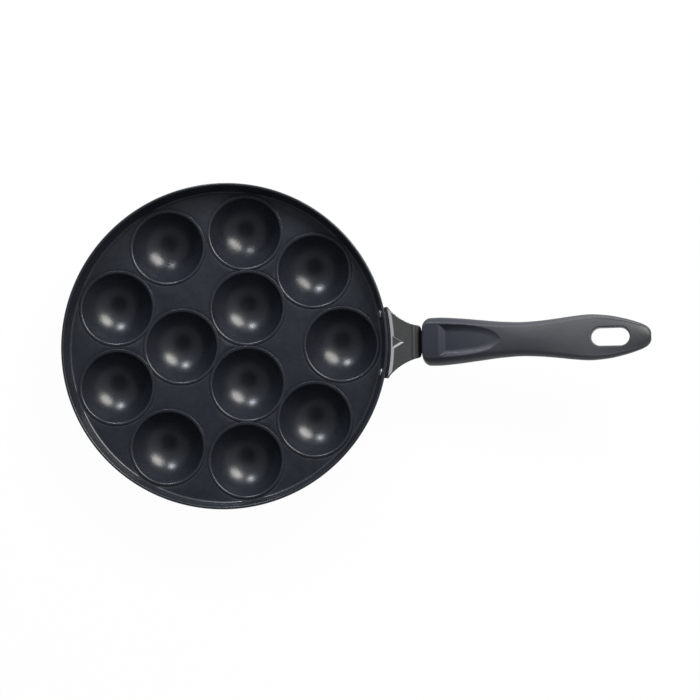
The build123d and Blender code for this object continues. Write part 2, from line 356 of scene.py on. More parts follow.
phenolicLook = {
    # Painted shade and light: darker at the front and the tail, lighter at the belly
    "front": (0.0115, 0.014, 0.026, 1),
    "belly": (0.066, 0.068, 0.076, 1),
    "tail": (0.036, 0.037, 0.041, 1),
    "frontX": 0.165,
    "bellyX": 0.275,
    "tailX": 0.312,
    "speck": (0.12, 0.12, 0.13, 1),
    "speckSize": 0.35,
    "speckShare": 0.16,
    "cloud": (0.03, 0.03, 0.036, 1),
    "cloudSize": 14,
    "cloudShare": 0.18,
    "glossSize": 3,
    "smoothest": 0.42,
    "roughest": 0.54,
    "specular": 0.42,
    "pebble": 0.018,
    "pebbleSize": 0.28,
    "flow": 0.03,
    "flowSize": 5.0,
}


def makePhenolic():
    look = phenolicLook
    material, tree, shader, place = newFinish("mouldedPhenolic")
    # The colour changes along the grip: painted shade at the front and the tail, painted light at the belly
    along = addNode(tree, "ShaderNodeSeparateXYZ", {0: place}).outputs["X"]
    share = fitRange(tree, along, look["frontX"], look["bellyX"], 0, 1)
    colour = blendColours(tree, share, look["front"], look["belly"])
    share = fitRange(tree, along, look["bellyX"], look["tailX"], 0, 1)
    colour = blendColours(tree, share, colour, look["tail"])
    speck = fitRange(tree, grain(tree, place, look["speckSize"], 3), 0.35, 0.7, 0, look["speckShare"])
    colour = blendColours(tree, speck, colour, look["speck"])
    cloud = fitRange(tree, grain(tree, place, look["cloudSize"], 3), 0.35, 0.65, 0, look["cloudShare"])
    colour = blendColours(tree, cloud, colour, look["cloud"])
    gloss = grain(tree, place, look["glossSize"], 4)
    gloss = fitRange(tree, gloss, 0.3, 0.7, look["smoothest"], look["roughest"])
    flow = reliefOf(tree, grain(tree, place, look["flowSize"], 1), look["flow"], 0.3)
    relief = reliefOf(tree, grain(tree, place, look["pebbleSize"], 3, 0.6), look["pebble"], 0.8, flow)
    feedShader(tree, shader, colour, gloss, relief)
    shader.inputs["Specular IOR Level"].default_value = look["specular"]
    return material


def makeMetal(name, dark, light, smoothest, roughest, size):
    material, tree, shader, place = newFinish(name)
    shader.inputs["Metallic"].default_value = 1.0
    mottle = grain(tree, place, size, 4)
    colour = blendColours(tree, fitRange(tree, mottle, 0.3, 0.7, 0, 1), dark, light)
    gloss = fitRange(tree, mottle, 0.3, 0.7, smoothest, roughest)
    relief = reliefOf(tree, grain(tree, place, size / 4, 3), 0.01, 0.5)
    feedShader(tree, shader, colour, gloss, relief)
    return material


coating = makeCoating("satinNonstick")
rivetCoating = makeCoating("dullNonstick", 0.25)
steel = makeSteel()
phenolic = makePhenolic()
rivetMetal = makeMetal("rivetAluminium", (0.50, 0.50, 0.51, 1), (0.66, 0.66, 0.67, 1), 0.32, 0.45, 0.8)
screwMetal = makeMetal("platedSteel", (0.45, 0.45, 0.46, 1), (0.60, 0.60, 0.61, 1), 0.22, 0.36, 0.7)
brass = makeMetal("insertBrass", (0.55, 0.38, 0.14, 1), (0.72, 0.52, 0.22, 1), 0.28, 0.42, 0.7)
print("finishes made")


# Pan: plate, wall and cups in one piece

panSizes = {
    "rimRadius": 125.0,
    "rimHeight": 35.3,
    "rimRound": 0.95,
    "wallThickness": 2.2,
    "wallLean": 2.8 / 12,
    "plateTop": 23.3,
    "plateUnderside": 20.7,
    "innerCorner": 2.4,
    "outerCorner": 3.4,
    "mouthLevel": 23.8,
    "mouthRadius": 27.2,
    "mouthRound": 1.6,
    "mouthTurn": 98.0,
    "cupRadius": 27.99,
    "cupCentre": 30.39,
    "bulgeRadius": 30.29,
    "bulgeCentre": 29.59,
    "landWidth": 2.1,
    "landRound": 0.3,
    "grooveWidth": 1.9,
    "grooveDepth": 0.38,
    "outerCups": 9,
    "outerRing": 89.1,
    "innerCups": 3,
    "innerRing": 33.9,
    "innerTurn": 60.0,
    "stepsAround": 288,
    "stepsPerCup": 96,
    "bowlSteps": 34,
    "undersideSteps": 18,
}


def outerWall(z):
    s = panSizes
    return s["rimRadius"] - (s["rimHeight"] - 0.6 - z) * s["wallLean"]


def innerWall(z):
    return outerWall(z) - panSizes["wallThickness"]


def panProfiles():
    s = panSizes
    shell = roundedPath([
        (0, s["plateUnderside"], 0),
        (outerWall(s["plateUnderside"]), s["plateUnderside"], s["outerCorner"]),
        (s["rimRadius"] + 0.1, s["rimHeight"], s["rimRound"]),
        (innerWall(s["rimHeight"]), s["rimHeight"], s["rimRound"]),
        (innerWall(s["plateTop"]), s["plateTop"], s["innerCorner"]),
        (0, s["plateTop"], 0),
    ], 7)
    shell[:, 0] = np.minimum(shell[:, 0], s["rimRadius"])
    middle = (s["plateUnderside"] + s["plateTop"]) / 2
    edge = s["mouthRadius"] + s["landWidth"]
    land = roundedPath([
        (0, middle, 0),
        (edge + 0.4, middle, 0),
        (edge + 0.4, s["plateTop"] - s["grooveDepth"] - 0.1, 0),
        (edge, s["mouthLevel"], s["landRound"]),
        (0, s["mouthLevel"], 0),
    ], 4)
    low, high = s["plateTop"] - s["grooveDepth"], s["plateTop"] + 1
    outer = edge + s["grooveWidth"]
    groove = [(edge - 1, low), (edge + 0.3, low), (outer, s["plateTop"])]
    groove += [(outer, high), (edge - 1, high), (edge - 1, low)]
    padRadius = math.sqrt(s["bulgeRadius"] ** 2 - s["bulgeCentre"] ** 2)
    low = -math.acos(padRadius / s["bulgeRadius"]) + 0.02
    high = -math.asin((s["bulgeCentre"] - middle) / s["bulgeRadius"])
    underside = arcPath((0, s["bulgeCentre"]), s["bulgeRadius"], low, high, s["undersideSteps"])
    bulge = np.vstack([[(0, 0)], [(padRadius - 0.6, 0)], underside, [(0, middle)]])
    filletLevel = s["mouthLevel"] - s["mouthRound"]
    reach = s["cupRadius"] + s["mouthRound"]
    filletX = math.sqrt(reach**2 - (s["cupCentre"] - filletLevel) ** 2)
    touch = math.atan2(filletLevel - s["cupCentre"], filletX)
    bowl = arcPath((0, s["cupCentre"]), s["cupRadius"], -math.pi / 2, touch, s["bowlSteps"])
    turned = math.radians(s["mouthTurn"])
    lip = arcPath((filletX, filletLevel), s["mouthRound"], math.pi + touch, turned, 8)
    top = s["mouthLevel"] + 2
    cup = np.vstack([bowl, lip[1:], [(lip[-1][0] + 0.3, top), (0, top)]])
    return [shell, land, bulge, cup, groove]


def addBoolean(tree, operation, cutters, base=None):
    node = addNode(tree, "GeometryNodeMeshBoolean", operation=operation, solver="MANIFOLD")
    if base is not None:
        tree.links.new(base, node.inputs[0])
    for cutter in cutters:
        tree.links.new(cutter, node.inputs[1])
    return node.outputs[0]


def makePanTree():
    tree = bpy.data.node_groups.new("panTree", "GeometryNodeTree")
    addSocket(tree, "Profiles", "NodeSocketGeometry")
    for name in ("Steps around", "Steps per cup", "Outer cups", "Inner cups"):
        addSocket(tree, name, "NodeSocketInt", 9)
    for name in ("Outer ring", "Inner ring", "Inner turn"):
        addSocket(tree, name, "NodeSocketFloat", 0.1)
    addSocket(tree, "Coating", "NodeSocketMaterial")
    addSocket(tree, "Pan", "NodeSocketGeometry", direction="OUTPUT")
    given = addNode(tree, "NodeGroupInput").outputs
    outer, inner = (
        addNode(tree, "GeometryNodeMeshCircle", {"Vertices": given[cups], "Radius": given[ring]})
        for cups, ring in (("Outer cups", "Outer ring"), ("Inner cups", "Inner ring"))
    )
    turn = addNode(tree, "ShaderNodeCombineXYZ", {"Z": given["Inner turn"]}).outputs[0]
    inner = addNode(tree, "GeometryNodeTransform", {"Geometry": inner.outputs[0], "Rotation": turn})
    rings = addNode(tree, "GeometryNodeJoinGeometry")
    for source in (outer, inner):
        tree.links.new(source.outputs[0], rings.inputs[0])
    shell = turnedPart(tree, given["Profiles"], 0, given["Steps around"])
    placed = []
    for mark in (1, 2, 3, 4):
        shape = turnedPart(tree, given["Profiles"], mark, given["Steps per cup"])
        shapes = {"Points": rings.outputs[0], "Instance": shape}
        placed.append(addNode(tree, "GeometryNodeInstanceOnPoints", shapes).outputs[0])
    lands, bulges, cups, grooves = placed
    plate = addBoolean(tree, "DIFFERENCE", [grooves], shell)
    solid = addBoolean(tree, "UNION", [plate, lands, bulges])
    hollow = addBoolean(tree, "DIFFERENCE", [cups], solid)
    return endTree(tree, hollow, given["Coating"], "Pan")


def makePan():
    s = panSizes
    piece = profileObject("panBody", panProfiles())
    useTree(piece, makePanTree(), {
        "Steps around": s["stepsAround"],
        "Steps per cup": s["stepsPerCup"],
        "Outer cups": s["outerCups"],
        "Outer ring": s["outerRing"] * mm,
        "Inner cups": s["innerCups"],
        "Inner ring": s["innerRing"] * mm,
        "Inner turn": s["innerTurn"] * degree,
        "Coating": coating,
    })
    settle(piece)
    shadeSmooth(piece, 40)
    weightNormals(piece)
    return piece


panBody = makePan()
print("pan", len(panBody.data.polygons), "faces")


# Sheet and moulded pieces are filled from outlines in a flat working plane

def insidePath(points, loop):
    inside = np.zeros(len(points), bool)
    x, y = points[:, 0], points[:, 1]
    for (x0, y0), (x1, y1) in zip(loop, np.roll(loop, -1, 0)):
        crosses = (y0 > y) != (y1 > y)
        with np.errstate(divide="ignore", invalid="ignore"):
            inside ^= crosses & (x < (x1 - x0) * (y - y0) / (y1 - y0) + x0)
    return inside


def gapToPath(points, loop):
    nearest = np.full(len(points), 1e9)
    for start, end in zip(loop, np.roll(loop, -1, 0)):
        along = end - start
        length = max(along @ along, 1e-12)
        share = np.clip((points - start) @ along / length, 0, 1)
        nearest = np.minimum(nearest, np.linalg.norm(points - start - share[:, None] * along, axis=1))
    return nearest


def insetPath(loop, distance):
    # Loops run anticlockwise, so a positive distance goes inwards
    before = loop - np.roll(loop, 1, 0)
    after = np.roll(loop, -1, 0) - loop
    before /= np.linalg.norm(before, axis=1)[:, None]
    after /= np.linalg.norm(after, axis=1)[:, None]
    normal = np.column_stack((-(before + after)[:, 1], (before + after)[:, 0]))
    normal /= np.linalg.norm(normal, axis=1)[:, None]
    square = np.column_stack((-before[:, 1], before[:, 0]))
    stretch = np.clip(np.sum(normal * square, axis=1), 0.6, 1)
    return loop + normal * (distance / stretch)[:, None]


def evenSteps(path, step):
    lengths = np.concatenate([[0], np.cumsum(np.linalg.norm(np.diff(path, axis=0), axis=1))])
    count = max(2, round(lengths[-1] / step))
    at = np.linspace(0, lengths[-1], count + 1)
    return np.column_stack([np.interp(at, lengths, path[:, k]) for k in (0, 1)])


def fillPlane(loops, scattered, holes=()):
    points, edges = [], []
    for loop in loops:
        first = len(points)
        points += [Vector(p) for p in loop]
        edges += [(first + i, first + (i + 1) % len(loop)) for i in range(len(loop))]
    points += [Vector(p) for p in scattered]
    result = delaunay_2d_cdt(points, edges, [], 1, 1e-7, True)
    flat = np.array([tuple(p) for p in result[0]])
    triangles = np.array(result[2])
    a, b, c = (flat[triangles[:, k]] for k in range(3))
    turned = np.cross(b - a, c - a)
    triangles[turned < 0] = triangles[turned < 0][:, ::-1]
    middles = flat[triangles].mean(1)
    for hole in holes:
        keep = ~insidePath(middles, hole)
        triangles, middles = triangles[keep], middles[keep]
    keep = insidePath(middles, np.asarray(loops[0]))
    triangles = triangles[keep]
    given = {}
    for new, old in enumerate(result[3]):
        for k in old:
            given[k] = new
    return flat, triangles, given


def twoSided(top, bottom, triangles, rims):
    # Upper and lower skins share one triangulation; rims join them round each loop, top to bottom
    count = len(top)
    vertices = [top, bottom]
    faces = [tuple(t) for t in triangles]
    faces += [tuple(t[::-1] + count) for t in triangles]
    total = 2 * count
    for rim, rows, outward in rims:
        upper, lower = top[rim], bottom[rim]
        rings = [np.array(rim)]
        for k in range(1, rows):
            vertices.append(upper + (lower - upper) * k / rows)
            rings.append(np.arange(total, total + len(rim)))
            total += len(rim)
        rings.append(np.array(rim) + count)
        for a, b in zip(rings, rings[1:]):
            for i in range(len(rim)):
                j = (i + 1) % len(rim)
                face = (a[i], b[i], b[j], a[j])
                faces.append(face if outward else face[::-1])
    return np.vstack(vertices), [tuple(int(i) for i in face) for face in faces]


# Handle bracket: pressed sheet with a turned flange, bend, web, nose and tongue

bracketSizes = {
    "sheet": 2.0,
    "edgeRound": 0.25,
    "flangeFoot": 22.9,
    "webLevel": 33.8,
    "bendRadius": 4.6,
    "bendTurn": 37.0,
    "bendSlope": 2.4,
    "footRadius": 1.6,
    "flangeHalf": 28.0,
    "flangeCorner": 3.0,
    "tipX": 123.87,
    "tipRound": 1.0,
    "noseX": 146.06,
    "noseHalf": 12.7,
    "hollow": 44.0,
    "noseCorner": 4.0,
    "noseRadius": 3.0,
    "noseTurn": 60.0,
    "tongueHalf": 8.5,
    "tongueRise": 8.0,
    "tongueLength": 21.5,
    "tongueRoot": 0.6,
    "tongueCorner": 2.0,
    # Where the steel turns rougher and is painted darker as painted shade: the nose and the tongue
    "noseDullShade": 0.97,
    "noseDullShadeFrom": -4.5,
    "noseDullShadeOver": 4.0,
    "tongueDullShade": 0.72,
    "tongueDullShadeFrom": 2.5,
    "tongueDullShadeOver": 2.0,
    "dartBase": 128.2,
    "dartX": 137.5,
    "dartHalf": 5.6,
    "dartWall": 1.7,
    "dartDepth": 0.5,
}


def bentPath(moves):
    # Middle line of the sheet through arcs (radius, turn) and straights (length, 0), by developed length
    point, heading = np.zeros(2), 0.0
    path, lengths = [point.copy()], [0.0]
    for size, turn in moves:
        steps = 40
        length = size if turn == 0 else size * abs(turn) * degree
        for _ in range(steps):
            heading += turn * degree / steps / 2
            point = point + np.array((math.cos(heading), math.sin(heading))) * length / steps
            heading += turn * degree / steps / 2
            path.append(point.copy())
            lengths.append(lengths[-1] + length / steps)
    return np.array(path), np.array(lengths)


def bracketPath():
    # Outwards from the web: the nose bends down to the rising tongue
    s = bracketSizes
    path, lengths = bentPath([
        (s["noseRadius"], -s["noseTurn"]),
        (s["noseRadius"], s["noseTurn"] + s["tongueRise"]),
        (s["tongueLength"], 0),
    ])
    return path + (s["noseX"], s["webLevel"]), lengths + s["noseX"]


def flangePath():
    # Inwards from the web: a round bend and a short slope down to the flange along the wall.
    # The last two results are where the bend starts and the developed length from there to the foot
    s = bracketSizes
    lean = math.degrees(math.atan(panSizes["wallLean"]))
    path, lengths = bentPath([
        (s["bendRadius"], -s["bendTurn"]),
        (s["bendSlope"], 0),
        (s["footRadius"], s["bendTurn"] + lean - 90),
    ])
    reach, drop = path[-1][0], -path[-1][1]
    atWall = outerWall(s["webLevel"] - drop) + s["sheet"] / 2 / math.cos(lean * degree)
    straight = (s["webLevel"] - drop - s["flangeFoot"]) / math.cos(lean * degree)
    return path, lengths, atWall + reach, lengths[-1] + straight


def onBracket(flat):
    # Maps developed (s, y) to the middle surface
    s = bracketSizes
    lean = math.atan(panSizes["wallLean"])
    path, lengths = bracketPath()
    inner, innerLengths, bendStart, _ = flangePath()
    across = flat[:, 1]
    past = flat[:, 0] - np.sqrt(bendStart**2 - across**2)
    down = np.clip(-past - innerLengths[-1], 0, None)
    radius = bendStart - np.interp(-past, innerLengths, inner[:, 0]) - down * math.sin(lean)
    level = s["webLevel"] + np.interp(-past, innerLengths, inner[:, 1]) - down * math.cos(lean)
    angle = np.arcsin(across / bendStart)
    onFlange = np.column_stack((radius * np.cos(angle), radius * np.sin(angle), level))
    x = np.where(flat[:, 0] < s["noseX"], flat[:, 0], np.interp(flat[:, 0], lengths, path[:, 0]))
    z = np.where(flat[:, 0] < s["noseX"], s["webLevel"], np.interp(flat[:, 0], lengths, path[:, 1]))
    onWeb = np.column_stack((x, across, z))
    return np.where((past < 0)[:, None], onFlange, onWeb)


def developed(x):
    s = bracketSizes
    path, lengths = bracketPath()
    return x if x <= s["noseX"] else float(np.interp(x, path[:, 0], lengths))


def bracketOutline():
    s = bracketSizes
    _, _, bendStart, flange = flangePath()
    edge = math.sqrt(bendStart**2 - s["flangeHalf"] ** 2)
    steps = np.linspace(0, s["flangeHalf"] - s["flangeCorner"] - 0.5, 30)
    foot = [(math.sqrt(bendStart**2 - y * y) - flange, y) for y in steps]
    tip = np.array((s["tipX"], s["flangeHalf"]))
    end = np.array((s["noseX"], s["noseHalf"]))
    chord = end - tip
    half = np.linalg.norm(chord) / 2
    side = np.array((-chord[1], chord[0])) / (2 * half)
    centre = (tip + end) / 2 + side * math.sqrt(s["hollow"] ** 2 - half**2)
    first = math.atan2(*(tip - centre)[::-1])
    last = math.atan2(*(end - centre)[::-1])
    hollow = arcPath(centre, s["hollow"], first, last, 40)
    nose = arcPath((s["noseX"], s["noseHalf"] - s["noseCorner"]), s["noseCorner"], math.pi / 2, 0.1, 10)
    nose = [(developed(x), y) for x, y in nose]
    tongueStart = developed(s["noseX"] + s["noseCorner"])
    tongueEnd = bracketPath()[1][-1]
    upper = roundedPath([
        (*foot[-1], 0),
        (edge - flange, s["flangeHalf"], s["flangeCorner"]),
        (*tip, s["tipRound"]),
        (*hollow[4], 0),
    ], 6)
    tail = roundedPath([
        (*nose[-1], 0),
        (tongueStart + 0.2, s["tongueHalf"], s["tongueRoot"]),
        (tongueEnd, s["tongueHalf"], s["tongueCorner"]),
        (tongueEnd, 0, 0),
    ], 5)
    half = np.vstack([foot[:-1], upper, hollow[5:], nose, tail[1:]])
    half = evenSteps(half, 0.7)
    mirrored = half[1:-1][::-1] * (1, -1)
    loop = np.vstack([half, mirrored])
    area = np.sum(loop[:, 0] * np.roll(loop[:, 1], -1) - loop[:, 1] * np.roll(loop[:, 0], -1))
    return loop if area > 0 else loop[::-1]


def surfaceNormals(vertices, triangles):
    a, b, c = (vertices[triangles[:, k]] for k in range(3))
    face = np.cross(b - a, c - a)
    normals = np.zeros_like(vertices)
    for k in range(3):
        np.add.at(normals, triangles[:, k], face)
    return normals / np.linalg.norm(normals, axis=1)[:, None]


def softPositive(value, softness):
    # Follows max(value, 0) with a rounded corner
    return (value + np.sqrt(value**2 + softness**2)) / 2 - softness / 2 * np.exp(-np.abs(value) / softness)


def pressDart(flat, surface, normals):
    # A three-cornered stamp beside the bend, with a level floor and soft walls
    s = bracketSizes
    length = s["dartX"] - s["dartBase"]
    slant = math.hypot(length, s["dartHalf"])
    fromBase = flat[:, 0] - s["dartBase"]
    fromSide = (s["dartHalf"] * (length - fromBase) - length * np.abs(flat[:, 1])) / slant
    inwards = np.minimum(fromBase, fromSide) / s["dartWall"]
    return surface - normals * (s["dartDepth"] * smoothStep(inwards))[:, None]


def makeBracket():
    s = bracketSizes
    loop = bracketOutline()
    insets = [share * s["edgeRound"] for share in (0, 0.12, 0.5, 1.0)]
    rings = [insetPath(loop, inset) for inset in insets]
    _, _, bendStart, flange = flangePath()
    fineHalf = 7.2  # the mesh is finer beside the dart
    columns = [np.arange(0, fineHalf, 0.22), np.arange(7.6, s["flangeHalf"], 0.7)]
    columns = np.concatenate(columns)
    columns = np.concatenate([-columns[:0:-1], columns])
    scattered = []
    for y in columns:
        edge = math.sqrt(bendStart**2 - y * y)
        step = 0.24 if abs(y) < fineHalf else 0.6
        onWeb = np.linspace(edge, s["noseX"], int((s["noseX"] - edge) / step))[1:]
        onTongue = np.arange(s["noseX"] + 0.35, bracketPath()[1][-1], 0.4)
        scattered += [(edge - d, y) for d in np.arange(0, flange, 0.4)]
        scattered += [(x, y) for x in (*onWeb, *onTongue)]
    scattered = np.array(scattered)
    scattered = scattered[insidePath(scattered, loop)]
    scattered = scattered[gapToPath(scattered, loop) > s["edgeRound"] + 0.22]
    flat, triangles, given = fillPlane(rings, scattered)
    surface = onBracket(flat)
    normals = surfaceNormals(surface, triangles)
    if normals[:, 2].mean() < 0:
        normals = -normals
    surface = pressDart(flat, surface, normals)
    edge = s["edgeRound"]
    inset = np.full(len(flat), edge)
    for k, distance in enumerate(insets):
        for i in range(len(loop)):
            inset[given[k * len(loop) + i]] = distance
    half = s["sheet"] / 2 - edge + np.sqrt(np.clip(edge**2 - (edge - inset) ** 2, 0, None))
    upper = surface + normals * half[:, None]
    lower = surface - normals * half[:, None]
    rim = [given[i] for i in range(len(loop))]
    vertices, faces = twoSided(upper, lower, triangles, [(rim, 3, True)])
    # Cut edges, the nose and the tongue are rougher where the polish stops, and are painted darker: painted
    # shade that dims the edge glints and shades the nose bend and the tongue in the gap before the grip
    past = flat[:, 0] - s["noseX"]
    onNose = smoothStep((past - s["noseDullShadeFrom"]) / s["noseDullShadeOver"])
    onTongue = smoothStep((past - s["tongueDullShadeFrom"]) / s["tongueDullShadeOver"])
    unpolishedAndShaded = s["noseDullShade"] * onNose + (s["tongueDullShade"] - s["noseDullShade"]) * onTongue
    dullAndShaded = np.ones(len(vertices))
    dullAndShaded[:2 * len(flat)] = np.tile(np.maximum(inset < 0.9 * edge, unpolishedAndShaded), 2)
    piece = makeObject("handleBracket", vertices * mm, faces)
    piece.data.attributes.new("dullAndShaded", "FLOAT", "POINT").data.foreach_set("value", dullAndShaded)
    piece.data.materials.append(steel)
    shadeSmooth(piece, 60)
    return piece


bracket = makeBracket()
print("bracket", len(bracket.data.polygons), "faces")


# Grip: moulded, with a thumb recess, a hang slot and a pocket for the tongue

gripSizes = {
    "frontX": 151.671,
    "frontZ": 30.829,
    "frontRound": 1.3,
    "cornerRound": 6.0,
    "crownAtFront": 0.35,
    "crownAtBelly": 1.15,
    "crownFrom": 35.0,
    "crownOver": 45.0,
    "crease": 0.12,
    "creaseSoftness": 0.12,
    "creaseFrom": 118.0,
    "creaseOver": 22.0,
    "undersidePower": 2.8,
    "slotReach": 140.6,
    "slotHalfLength": 14.15,
    "slotHalfWidth": 6.95,
    "slotRound": 1.1,
    "recessStart": 13.0,
    "recessEnd": 60.6,
    "recessHalf": 12.1,
    "recessDepth": 3.4,
    "recessFrontWall": 4.4,
    "recessSideWall": 5.4,
    "recessTipWall": 10.0,
    "recessSoftness": 0.10,
    "recessPower": 2.4,
    "recessTaper": 0.58,
    "recessShallowing": 0.6,
    "pocketHalf": 8.8,
    "pocketReach": 22.6,
    "pocketLevels": (-1.3, 1.0),
    "boreReach": 9.0,
    "boreRadius": 5.2,
    "boreLevels": (-1.0, -9.0),
    "stepsAround": 64,
}

# Along the grip: reach from the front face, width, depth, height of the middle, share of the flat top
gripStations = np.array([
    (0.0, 35.6, 19.0, 0.0, 0.72),
    (5.0, 36.3, 19.0, 0.0, 0.72),
    (12.0, 36.6, 19.0, 0.2, 0.70),
    (25.0, 34.9, 18.5, 0.5, 0.68),
    (43.0, 31.0, 17.8, 0.9, 0.64),
    (60.0, 27.3, 16.8, 1.1, 0.63),
    (75.0, 25.8, 16.0, 1.2, 0.63),
    (88.0, 27.0, 15.0, 1.1, 0.65),
    (101.0, 29.6, 14.0, 0.8, 0.69),
    (114.0, 32.8, 13.2, 0.4, 0.73),
    (125.7, 34.6, 12.5, 0.0, 0.76),
    (138.5, 32.6, 11.8, -0.8, 0.78),
    (151.7, 27.1, 11.0, -1.6, 0.78),
    (159.7, 22.2, 10.2, -2.2, 0.76),
    (164.7, 18.3, 9.4, -2.6, 0.74),
    (168.2, 14.0, 8.5, -2.9, 0.72),
    (169.9, 9.9, 7.4, -3.1, 0.70),
    (170.7, 6.2, 6.0, -3.2, 0.70),
])


def smoothTable(at, places, values):
    # Monotone cubic through the table's points
    gaps = np.diff(places)
    rises = np.diff(values) / gaps
    slopes = np.zeros(len(places))
    slopes[0], slopes[-1] = rises[0], rises[-1]
    for i in range(1, len(places) - 1):
        if rises[i - 1] * rises[i] > 0:
            before = 2 * gaps[i] + gaps[i - 1]
            after = gaps[i] + 2 * gaps[i - 1]
            slopes[i] = (before + after) / (before / rises[i - 1] + after / rises[i])
    k = np.clip(np.searchsorted(places, at, side="right") - 1, 0, len(gaps) - 1)
    t = (at - places[k]) / gaps[k]
    a, b = values[k], values[k + 1]
    m, n = slopes[k] * gaps[k], slopes[k + 1] * gaps[k]
    start = (2 * t**3 - 3 * t**2 + 1) * a + (t**3 - 2 * t**2 + t) * m
    return start + (3 * t**2 - 2 * t**3) * b + (t**3 - t**2) * n


def gripTable(reach):
    columns = [smoothTable(reach, gripStations[:, 0], gripStations[:, k]) for k in range(1, 5)]
    for column, radius in ((0, gripSizes["cornerRound"]), (1, gripSizes["frontRound"])):
        ahead = np.clip(radius - reach, 0, None)
        columns[column] = columns[column] - 2 * (radius - np.sqrt(np.clip(radius**2 - ahead**2, 0, None)))
    return columns


def gapToSlot(reach, across):
    s = gripSizes
    straight = s["slotHalfLength"] - s["slotHalfWidth"]
    away = np.abs(reach - s["slotReach"]) - straight
    return np.hypot(np.clip(away, 0, None), across) - s["slotHalfWidth"]


def recessAt(reach, across):
    s = gripSizes
    length = s["recessEnd"] - s["recessStart"]
    along = np.clip((reach - s["recessStart"]) / length, 0, 1)
    power = s["recessPower"]
    half = s["recessHalf"] * (1 - along**power) ** s["recessTaper"]
    side = (half - np.abs(across)) / s["recessSideWall"]
    tip = (s["recessEnd"] - reach) / s["recessTipWall"]
    short = [np.clip(1 - part, 0, None) ** power for part in (side, tip)]
    inside = softPositive(1 - sum(short) ** (1 / power), s["recessSoftness"])
    inside = np.clip(inside, 0, 1)
    bowl = inside * (2 - inside)
    # The front wall is a level slope that meets the floor in a tight corner
    front = softPositive((reach - s["recessStart"]) / s["recessFrontWall"], s["recessSoftness"])
    depth = front - softPositive(front - bowl, s["recessSoftness"])
    return np.clip(depth, 0, None) * s["recessDepth"] * (1 - s["recessShallowing"] * along)


def gripSkins(reach, share):
    s = gripSizes
    width, depth, centre, flatShare = gripTable(reach)
    sine = np.sin(share * math.pi / 2)
    across = width / 2 * sine
    past = (np.abs(sine) - flatShare) / (1 - flatShare)
    past = np.clip(softPositive(past, s["creaseSoftness"]), 0, 1)
    fade = 1 - smoothStep((reach - s["creaseFrom"]) / s["creaseOver"])
    fade = s["crease"] * fade * smoothStep(reach / 6)
    crown = smoothStep((reach - s["crownFrom"]) / s["crownOver"])
    crown = s["crownAtFront"] + (s["crownAtBelly"] - s["crownAtFront"]) * crown
    crown = crown * (sine / flatShare) ** 2 * np.clip(1 - past, 0, 1)
    top = centre + depth / 2 * np.sqrt(1 - past**2) * (1 - fade * past) - crown
    power = s["undersidePower"]
    bottom = centre - depth / 2 * (1 - np.abs(sine) ** power) ** (1 / power)
    top = top - recessAt(reach, across)
    gap = gapToSlot(reach, across)
    rim = np.clip(s["slotRound"] - np.clip(gap, 0, None), 0, None)
    sink = s["slotRound"] - np.sqrt(np.clip(s["slotRound"] ** 2 - rim**2, 0, None))
    return [np.column_stack((reach, across, level)) for level in (top - sink, bottom + sink)]


def placeGrip(local):
    s = gripSizes
    rise = bracketSizes["tongueRise"] * degree
    cosine, sine = math.cos(rise), math.sin(rise)
    x = s["frontX"] + local[:, 0] * cosine - local[:, 2] * sine
    z = s["frontZ"] + local[:, 0] * sine + local[:, 2] * cosine
    return np.column_stack((x, local[:, 1], z))


